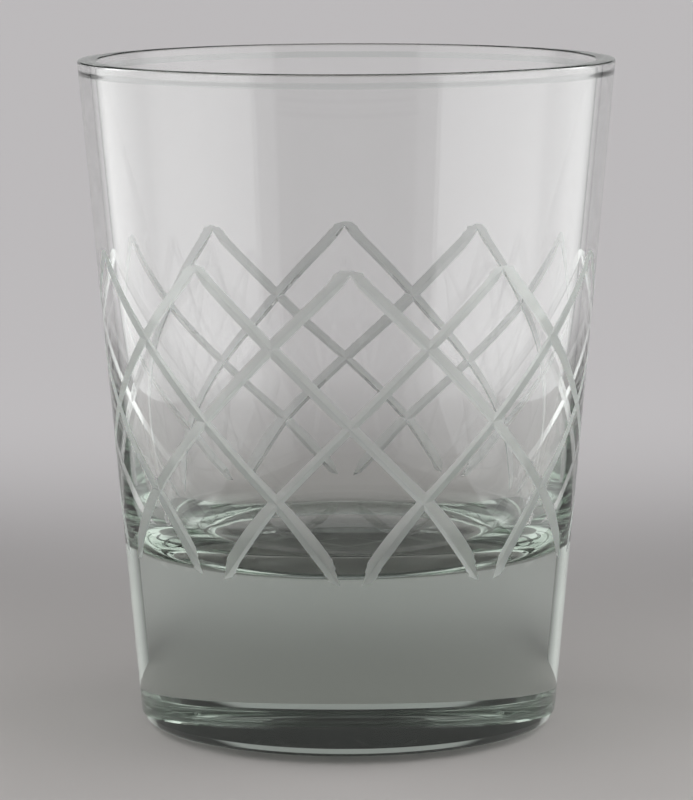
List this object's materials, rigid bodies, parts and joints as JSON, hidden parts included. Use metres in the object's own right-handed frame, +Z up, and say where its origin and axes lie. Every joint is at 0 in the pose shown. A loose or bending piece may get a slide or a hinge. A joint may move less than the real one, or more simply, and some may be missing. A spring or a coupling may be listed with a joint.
{
  "type": "double old fashioned glass",
  "caption": "Clear glass tumbler with a tapering wall, fire-polished rim, heavy solid base and a diamond lattice of V cuts around the wall; holds a short drink with ice.",
  "frame": {"origin": "on the glass's axis, on the plane that the glass stands on", "axes": "+Z up along the axis to the rim; -Y towards the viewer of the picture; +X to the viewer's right"},
  "size_m": [0.09, 0.09, 0.1125],
  "materials": {
    "clear_glass": "polished clear glass with a faint green tint in the thick base; the wheel cuts are ground and matte"
  },
  "bodies": {
    "root": {"tumbler": "clear_glass"}
  },
  "joints": []
}
